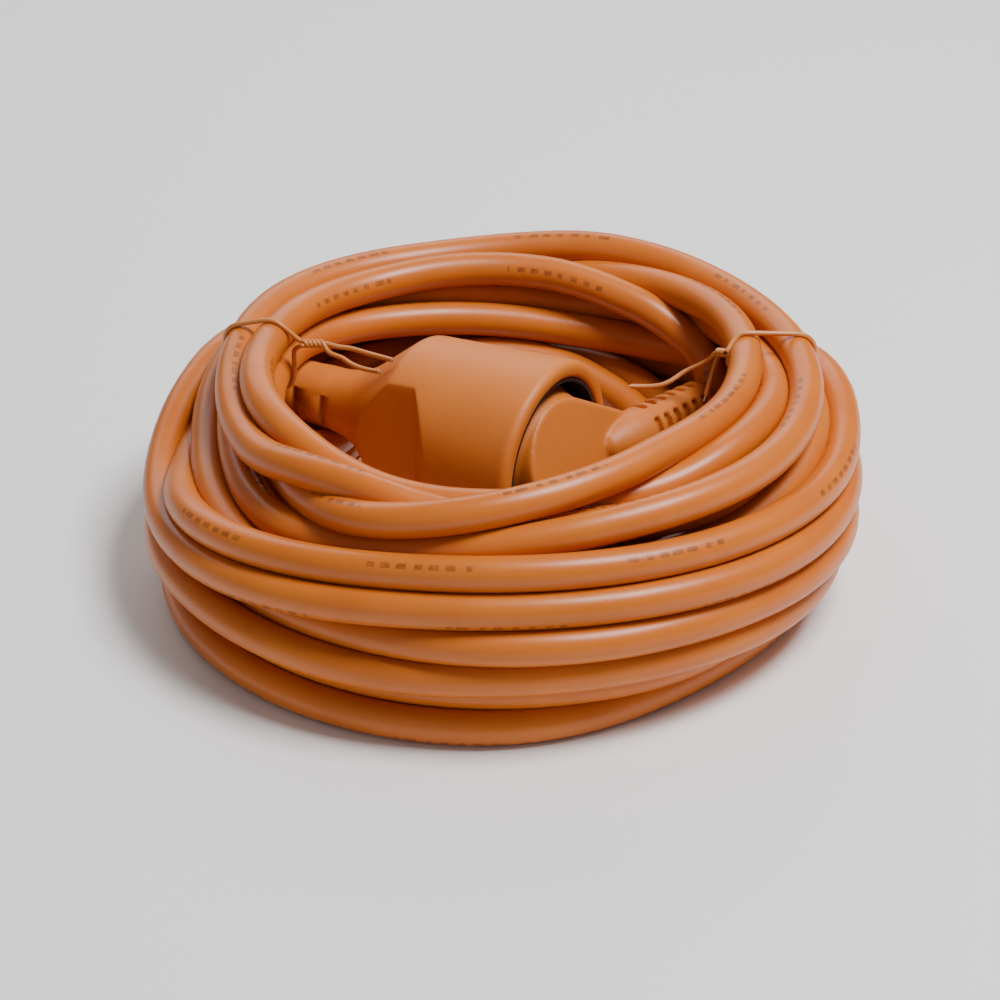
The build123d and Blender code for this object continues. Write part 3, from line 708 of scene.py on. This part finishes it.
def make_plug_block():
    """The plug's round base, its teardrop back and its sloping face, as one closed mesh."""
    angle = np.arange(PLUG_COLUMNS) * tau / PLUG_COLUMNS
    round_s, round_h = np.cos(angle), np.sin(angle)
    drop = teardrop(angle)

    def ring(radius, t):
        return np.stack([round_s * radius, round_h * radius, np.broadcast_to(t, angle.shape)], 1)

    def on_face(radius, below):
        s, h = round_s * radius, round_h * radius
        return np.stack([s, h, BACK_T + BACK_RISE_S * s + BACK_RISE_H * h - below], 1)

    rows = [ring(0.02, -11.0), ring(7.0, -11.0), ring(POCKET_R, -11.0), ring(POCKET_R, PLUG_FACE_T + 0.3)]
    rows += [ring(POCKET_R + 0.3, PLUG_FACE_T), ring(BASE_R - 0.7, PLUG_FACE_T)]
    rows += [ring(BASE_R - 0.2, PLUG_FACE_T + 0.2), ring(BASE_R, PLUG_FACE_T + 0.7)]
    rows += [ring(BASE_R, t) for t in (-14.0, -11.0, -8.0)]
    rows += [ring(BASE_R - 0.3, -6.6), ring(BASE_R - 1.1, -5.0), ring(BASE_R - 2.2, -2.8)]
    rows += [ring(BACK_R + 0.25, -1.6), ring(BACK_R, -1.2)]
    rim_drop = BACK_T + (BACK_RISE_S * round_s + BACK_RISE_H * round_h) * drop + 0.4
    rows += [on_face(drop, rim_drop * share) for share in (0.8, 0.6, 0.4, 0.22)]
    for turned in np.radians((0, 30, 60, 90)):
        rows.append(on_face(drop - 0.8 * (1 - cos(turned)), 0.8 * (1 - sin(turned))))
    rows += [on_face(drop * scale, 0.0) for scale in (0.75, 0.45, 0.2, 0.001)]
    rings = [place(row) for row in rows]
    faces = bridge(rings)
    last = (len(rings) - 1) * PLUG_COLUMNS
    faces.append(tuple(range(PLUG_COLUMNS)))
    faces.append(tuple(range(last, last + PLUG_COLUMNS)))
    return np.concatenate(rings), faces


RELIEF_SIDES = 64
RIB_FIRST = 6.2
RIB_PITCH = 3.85
RIB_COUNT = 6
RIB_DEPTH = 1.8
SPINE_TILT = radians(24)  # the ribs' plain spine looks up and a little outwards


def make_relief_mesh():
    """The tapered strain relief: ribs on both sides of a plain spine, and a plain collar at its end."""
    rows = [(-9.5, 4.3, False), (-8.0, 2.7, False), (-5.5, 1.7, False), (-2.5, 0.9, False)]
    rows += [(1.0, 0.3, False), (5.5, 0.0, False)]
    for k in range(RIB_COUNT):
        start = RIB_FIRST + RIB_PITCH * k
        rows += [(start - 0.15, 0.0, False), (start + 0.2, 0.0, True)]
        rows += [(start + 1.7, 0.0, True), (start + 2.05, 0.0, False)]
    rows += [(relief_length - back, inset, False) for back, inset in ((1.0, 0.0), (0.3, 0.25), (0.0, 0.8))]
    angle = np.arange(RELIEF_SIDES) * tau / RELIEF_SIDES
    spine = UP * cos(SPINE_TILT) + OUT * sin(SPINE_TILT)
    upward = unit(spine - relief_way * (spine @ relief_way))
    lateral = np.cross(relief_way, upward)
    rings = []
    for along, inset, groove in rows:
        share = min(max(along / relief_length, 0), 1)
        radius = RELIEF_ROOT_R + (RELIEF_TIP_R - RELIEF_ROOT_R) * share - inset
        u, w = radius * np.cos(angle), radius * np.sin(angle)
        if groove:
            limit = radius - RIB_DEPTH
            inside = np.abs(w) > 1.9
            size = np.where(inside, limit / radius, 1.0)
            u, w = u * size, w * size
        rings.append(relief_root + relief_way * along + u[:, None] * upward + w[:, None] * lateral)
    faces = bridge(rings)
    last = (len(rings) - 1) * RELIEF_SIDES
    faces.append(tuple(range(RELIEF_SIDES)))
    faces.append(tuple(range(last, last + RELIEF_SIDES)))
    return np.concatenate(rings), faces


def make_plug():
    block, block_faces = make_plug_block()
    relief, relief_faces = make_relief_mesh()
    body = outward(mesh_from("plug_moulding", block, block_faces))
    piece = new_object("plug_moulding", body, "plug")
    neck = outward(mesh_from("plug_relief", relief, relief_faces))
    tool = bpy.data.objects.new("plug_relief", neck)
    bpy.context.scene.collection.objects.link(tool)
    for way in (-1, 1):
        add_cut_box(piece, (way * 18.6, 0, -9.0), (1.7, 7.0, 16.9))
        add_cut_box(piece, (way * 17.3, 0, -9.0), (1.1, 6.1, 16.9))
    join = piece.modifiers.new("join", "BOOLEAN")
    join.operation = "UNION"
    join.object = tool
    join.solver = "EXACT"
    remesh = piece.modifiers.new("remesh", "REMESH")
    remesh.mode = "VOXEL"
    remesh.voxel_size = 0.42 * MM
    remesh.use_smooth_shade = True
    soften = piece.modifiers.new("soften", "SMOOTH")
    soften.factor = 0.5
    soften.iterations = 5
    settle_modifiers(piece)
    bpy.data.objects.remove(tool)
    for leftover in [o for o in bpy.data.objects if o.name.startswith("cut_box")]:
        bpy.data.objects.remove(leftover)
    piece.data.materials.clear()
    piece.data.materials.append(plug_look)
    for face in piece.data.polygons:
        face.use_smooth = True
    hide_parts("plug_body")
    return piece


def add_cut_box(piece, middle, size):
    """Cuts a box, given in the coupler's frame, out of a piece."""
    corners = [
        (middle[0] + a * size[0] / 2, middle[1] + b * size[1] / 2, middle[2] + c * size[2] / 2)
        for a in (-1, 1)
        for b in (-1, 1)
        for c in (-1, 1)
    ]
    faces = [(0, 1, 3, 2), (4, 6, 7, 5), (0, 4, 5, 1), (2, 3, 7, 6), (0, 2, 6, 4), (1, 5, 7, 3)]
    box = bpy.data.objects.new("cut_box", outward(mesh_from("cut_box", place(corners), faces)))
    bpy.context.scene.collection.objects.link(box)
    cut = piece.modifiers.new("cut", "BOOLEAN")
    cut.operation = "DIFFERENCE"
    cut.object = box
    cut.solver = "EXACT"


def settle_modifiers(piece):
    """Replaces a piece's mesh by its result with all modifiers, and removes them."""
    bpy.context.view_layer.update()
    graph = bpy.context.evaluated_depsgraph_get()
    made = bpy.data.meshes.new_from_object(piece.evaluated_get(graph))
    old = piece.data
    piece.modifiers.clear()
    piece.data = made
    made.name = old.name
    bpy.data.meshes.remove(old)


# ---------------------------------------------------------------- cord
CORD_SIDES = 28
LEAD_FROM_DEGREES = 78.0  # the stretch to the plug starts at this angle of the last turn


def make_cord():
    """The whole cord on one spline, in two pieces: the turns, which stay with the coil, and the last
    stretch between the coil and the plug."""
    line = nurbs_points(cord_line(), 4)
    tail = len(line) - 1
    bearing = np.degrees(np.arctan2(line[:, 1], line[:, 0]))
    while bearing[tail] < LEAD_FROM_DEGREES or tail > len(line) - 12:
        tail -= 1
    frames = carried_frames(line)
    along = np.r_[0, np.cumsum(np.linalg.norm(np.diff(line, axis=0), axis=1))]
    pieces = []
    for name, part in (("cord_turns", slice(0, tail + 1)), ("cord_to_plug", slice(tail, len(line)))):
        sheath = tube_mesh(
            name,
            line[part],
            CORD_D / 2,
            CORD_SIDES,
            frames=(frames[0][part], frames[1][part]),
            along=along[part],
        )
        piece = new_object(name, outward(sheath))
        sheath.materials.append(cord_look)
        pieces.append((piece, line[part], along[part][-1] - along[part][0]))
    return pieces


make_coupler()
plug = make_plug()
(turns_piece, turns_line, turns_length), (lead_piece, lead_line, lead_length) = make_cord()
print("cord lengths", round(turns_length, 1), round(lead_length, 1))

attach(turns_piece, "root")
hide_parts("cord_coil_lower", "cord_coil_upper", "coupler_lead")
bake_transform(lead_piece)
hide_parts("plug_lead")


# ---------------------------------------------------------------- ties
TWIST_TURNS = 2.5
WIRE_R = 0.32


def hull(points):
    """The convex outline of flat points, counterclockwise."""
    points = sorted(map(tuple, points))

    def half(points):
        out = []
        for p in points:
            while len(out) > 1:
                a, b = out[-2], out[-1]
                if (b[0] - a[0]) * (p[1] - a[1]) - (b[1] - a[1]) * (p[0] - a[0]) > 0:
                    break
                out.pop()
            out.append(p)
        return out[:-1]

    return np.array(half(points) + half(points[::-1]))


def crossings(line, degrees):
    """(radius, height) of each place where the cord crosses an upright half plane."""
    way = np.array((cos(radians(degrees)), sin(radians(degrees)), 0))
    across = np.array((-way[1], way[0], 0))
    side = line @ across
    ahead = line @ way
    found = []
    for k in np.nonzero((side[:-1] * side[1:] <= 0) & (ahead[:-1] > 0))[0]:
        share = side[k] / (side[k] - side[k + 1])
        p = line[k] + (line[k + 1] - line[k]) * share
        found.append((p @ way, p[2]))
    return np.array(found)


def tie_loop(degrees, lowest, knot):
    """Points of a wire drawn tight round the turns above a height, from the knot and back to it."""
    whole = np.concatenate([turns_line, lead_line])
    places = crossings(whole, degrees)
    places = places[places[:, 1] > lowest]
    ring = np.arange(24) * tau / 24
    reach = CORD_D / 2 + TIE_R + 0.1
    outline = hull([(r + reach * cos(a), z + reach * sin(a)) for r, z in places for a in ring])
    way = np.array((cos(radians(degrees)), sin(radians(degrees))))
    knot_r = knot[:2] @ way
    first = np.argmin(np.hypot(outline[:, 0] - knot_r, outline[:, 1] - knot[2]))
    outline = np.roll(outline, -first, axis=0)
    steps = np.r_[outline, outline[:1]]
    along = np.r_[0, np.cumsum(np.linalg.norm(np.diff(steps, axis=0), axis=1))]
    even = np.arange(3.0, along[-1] - 3.0, 2.2)
    r, z = np.interp(even, along, steps[:, 0]), np.interp(even, along, steps[:, 1])
    drift = np.linspace(-0.9, 0.9, len(even))
    across = np.array((-way[1], way[0]))
    flat = r[:, None] * way + drift[:, None] * across
    return np.c_[flat, z]


def make_tie(name, degrees, lowest, knot, away, first_tail, second_tail, bare=0.0):
    """A coated wire round the top turns, its two ends twisted together and then left as tails."""
    knot = np.array(knot)
    away = np.array(away)
    loop = tie_loop(degrees, lowest, knot)
    twist_way = unit(away - knot)
    twist_length = np.linalg.norm(away - knot)
    across = unit(np.cross(twist_way, UP))
    other = np.cross(twist_way, across)
    steps = np.linspace(0, 1, 16)
    strands = []
    for phase in (0, pi):
        angle = phase + TWIST_TURNS * tau * steps
        size = TIE_R * 1.02
        strands.append(
            knot
            + twist_way * (steps[:, None] * twist_length)
            + size * (np.cos(angle)[:, None] * across + np.sin(angle)[:, None] * other)
        )
    route = np.concatenate(
        [np.array(first_tail)[::-1], strands[0][::-1], loop, strands[1], np.array(second_tail)]
    )
    line = nurbs_points(route, 4)
    sheath = tube_mesh(name + "_coat", line, TIE_R, 12)
    coat = new_object(name + "_coat", outward(sheath), "root")
    sheath.materials.append(tie_look)
    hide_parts(f"{name}_coat")
    tip_way = unit(line[-1] - line[-3])
    tip = np.array([line[-1] - tip_way * 0.5, line[-1] + tip_way * max(bare, 0.3)])
    first_way = unit(line[0] - line[2])
    other_tip = np.array([line[0] - first_way * 0.5, line[0] + first_way * 0.35])
    for number, ends in enumerate((tip, other_tip)):
        wire_mesh = tube_mesh(f"{name}_wire_{number}", ends, WIRE_R, 10)
        wire = new_object(f"{name}_wire_{number}", outward(wire_mesh), "root")
        wire_mesh.materials.append(wire_look)
        if number == 0:
            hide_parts(f"{name}_wire")


make_tie(
    "left_tie",
    160.0,
    42.0,
    (-48.6, 17.6, 52.5),
    (-43.5, 18.6, 52.0),
    [(-40.1, 17.2, 51.8), (-36.7, 16.2, 52.0), (-33.0, 13.2, 52.2),
     (-29.5, 10.4, 52.6), (-26.4, 7.0, 53.4)],
    [(-42.0, 16.0, 50.6), (-38.8, 14.4, 50.4), (-36.5, 10.2, 50.6),
     (-32.8, 6.9, 50.8), (-29.4, 4.0, 51.8)],
)
make_tie(
    "right_tie",
    12.0,
    44.0,
    (54.0, 9.5, 54.0),
    (51.8, 15.0, 51.5),
    [(50.2, 18.0, 48.0), (47.5, 19.4, 45.5), (44.4, 20.7, 43.5),
     (40.0, 18.0, 41.3), (35.9, 18.3, 40.3), (31.2, 18.2, 40.6)],
    [(51.4, 14.6, 49.0), (50.8, 14.0, 46.5), (49.9, 13.2, 43.8), (49.2, 12.4, 41.2)],
    bare=1.6,
)

# ---------------------------------------------------------------- studio
CAMERA_AIM = (-0.7, 0.0, 19.0)
CAMERA_DISTANCE = 900.0
CAMERA_RISE = 29.0  # degrees above the floor
CAMERA_LENS = 133.8
FLOOR_REACH = 3.0  # metres


def make_floor():
    mesh = bpy.data.meshes.new("studio_floor")
    corners = [(a * FLOOR_REACH, b * FLOOR_REACH, 0) for a, b in ((-1, -1), (1, -1), (1, 1), (-1, 1))]
    mesh.from_pydata(corners, [], [(0, 1, 2, 3)])
    floor = bpy.data.objects.new("studio_floor", mesh)
    bpy.context.scene.collection.objects.link(floor)
    material, nodes, links, shader = new_material("studio_floor")
    shader.inputs["Base Color"].default_value = (0.88, 0.88, 0.87, 1.0)
    shader.inputs["Roughness"].default_value = 0.7
    mesh.materials.append(material)


def add_light(name, place_mm, size, power, color=(1.0, 1.0, 1.0), aim=(0, 0, 20)):
    lamp = bpy.data.lights.new(name, "AREA")
    lamp.shape = "RECTANGLE"
    lamp.size, lamp.size_y = size
    lamp.energy = power
    lamp.color = color
    light = bpy.data.objects.new(name, lamp)
    where = Vector([x * MM for x in place_mm])
    light.location = where
    light.rotation_euler = (Vector([x * MM for x in aim]) - where).to_track_quat("-Z", "Y").to_euler()
    bpy.context.scene.collection.objects.link(light)


def make_studio():
    make_floor()
    add_light("key_softbox", (430, -110, 1000), (0.42, 0.42), 17.0)
    add_light("back_softbox", (-150, 750, 500), (0.9, 0.4), 3.0)
    add_light("front_fill", (-500, -800, 420), (0.8, 0.6), 0.5)
    world = bpy.data.worlds.new("studio")
    world.use_nodes = True
    world.node_tree.nodes["Background"].inputs["Color"].default_value = (1.0, 1.0, 1.0, 1.0)
    world.node_tree.nodes["Background"].inputs["Strength"].default_value = 0.22
    bpy.context.scene.world = world


def make_camera():
    lens = bpy.data.cameras.new("camera")
    lens.lens = CAMERA_LENS
    lens.sensor_width = 36.0
    lens.clip_start = 0.01
    camera = bpy.data.objects.new("camera", lens)
    aim = Vector([x * MM for x in CAMERA_AIM])
    rise = radians(CAMERA_RISE)
    camera.location = aim + Vector((0, -cos(rise), sin(rise))) * CAMERA_DISTANCE * MM
    camera.rotation_euler = (aim - camera.location).to_track_quat("-Z", "Y").to_euler()
    bpy.context.scene.collection.objects.link(camera)
    bpy.context.scene.camera = camera


make_studio()
make_camera()
